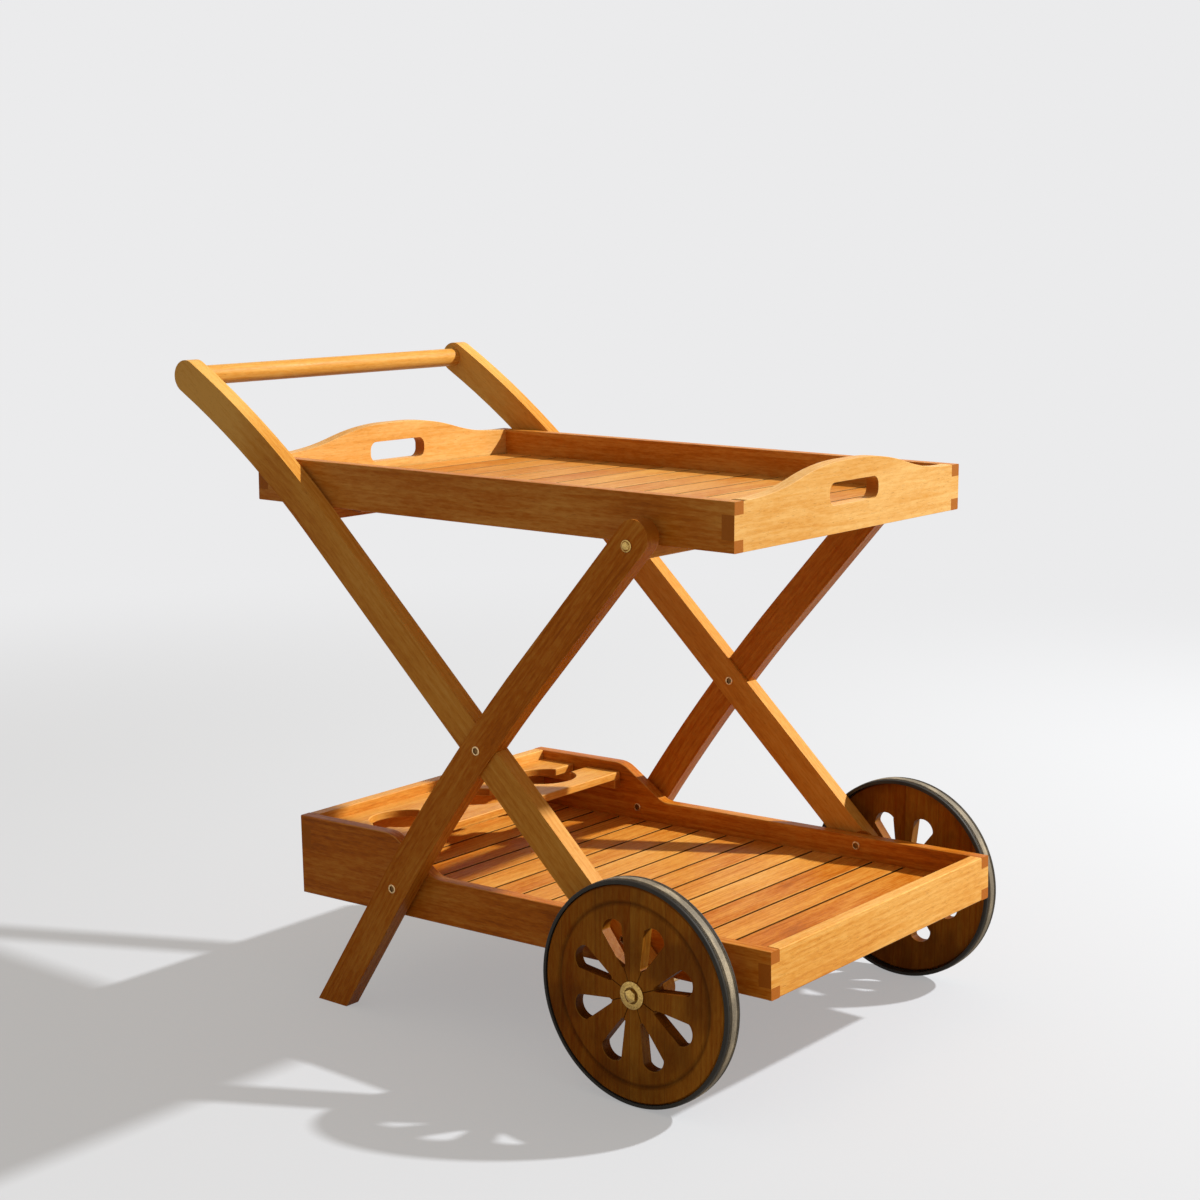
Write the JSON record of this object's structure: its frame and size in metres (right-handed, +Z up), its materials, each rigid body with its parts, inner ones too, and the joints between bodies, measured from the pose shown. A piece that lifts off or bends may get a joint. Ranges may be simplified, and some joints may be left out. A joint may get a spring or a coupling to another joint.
{
  "type": "outdoor serving cart",
  "caption": "Wooden outdoor serving cart on crossed legs, with a lift-off tray, a sloping slatted shelf with a bottle rack, wooden disc wheels with petal cut-outs and a push bar.",
  "frame": {"origin": "on the floor, under the middle of the cart's overall length and width", "axes": "+X along the cart from the handle to the wheels, +Y across it to the left side, +Z up"},
  "size_m": [0.8785, 0.5766, 0.7645],
  "materials": {
    "frame_wood": "oiled",
    "tray_wood": "oiled",
    "shelf_wood": "oiled",
    "wheel_wood": "oiled",
    "tyre_rubber": "matte",
    "brass": "satin",
    "steel": "satin"
  },
  "bodies": {
    "frame": {"axle": "steel", "axle_shelf_bolts": "steel", "bottle_rack_front_plank": "shelf_wood", "bottle_rack_rear_plank": "shelf_wood", "crossing_bolts": "steel", "domed_nuts": "brass", "foot_shelf_bolts": "steel", "front_cross_rail": "frame_wood", "handle_bar": "frame_wood", "hub_discs": "brass", "left_foot_leg": "frame_wood", "left_handle_leg": "frame_wood", "rack_cleats": "shelf_wood", "rail_bolts": "brass", "rear_cross_rail": "frame_wood", "right_foot_leg": "frame_wood", "right_handle_leg": "frame_wood", "shelf_battens": "shelf_wood", "shelf_front_end": "shelf_wood", "shelf_left_side": "shelf_wood", "shelf_rear_end": "shelf_wood", "shelf_right_side": "shelf_wood", "shelf_slat_01": "shelf_wood", "shelf_slat_02": "shelf_wood", "shelf_slat_03": "shelf_wood", "shelf_slat_04": "shelf_wood", "shelf_slat_05": "shelf_wood", "shelf_slat_06": "shelf_wood", "shelf_slat_07": "shelf_wood", "shelf_slat_08": "shelf_wood", "shelf_slat_09": "shelf_wood", "shelf_slat_10": "shelf_wood", "shelf_slat_11": "shelf_wood", "shelf_slat_12": "shelf_wood", "shelf_slat_13": "shelf_wood", "shelf_slat_14": "shelf_wood", "shelf_slat_15": "shelf_wood", "shelf_spacers": "shelf_wood", "sleeve_nuts": "steel", "spacer_rings": "steel"},
    "tray": {"tray_battens": "tray_wood", "tray_front_end": "tray_wood", "tray_left_side": "tray_wood", "tray_rear_end": "tray_wood", "tray_right_side": "tray_wood", "tray_slats": "tray_wood", "tray_stops": "tray_wood"},
    "right_wheel": {"right_wheel_disc": "wheel_wood", "right_tyre": "tyre_rubber", "right_bush": "brass"},
    "left_wheel": {"left_wheel_disc": "wheel_wood", "left_tyre": "tyre_rubber", "left_bush": "brass"}
  },
  "joints": [
    {"name": "right_wheel_spin", "type": "hinge", "parent": "frame", "child": "right_wheel", "pos_m": [0.2979, -0.2695, 0.125], "axis": [0, 1, 0], "continuous": true},
    {"name": "left_wheel_spin", "type": "hinge", "parent": "frame", "child": "left_wheel", "pos_m": [0.2979, 0.2695, 0.125], "axis": [0, 1, 0], "continuous": true},
    {"name": "tray_lift", "type": "slide", "parent": "frame", "child": "tray", "axis": [0, 0, 1], "range_m": [0, 0.15]}
  ]
}
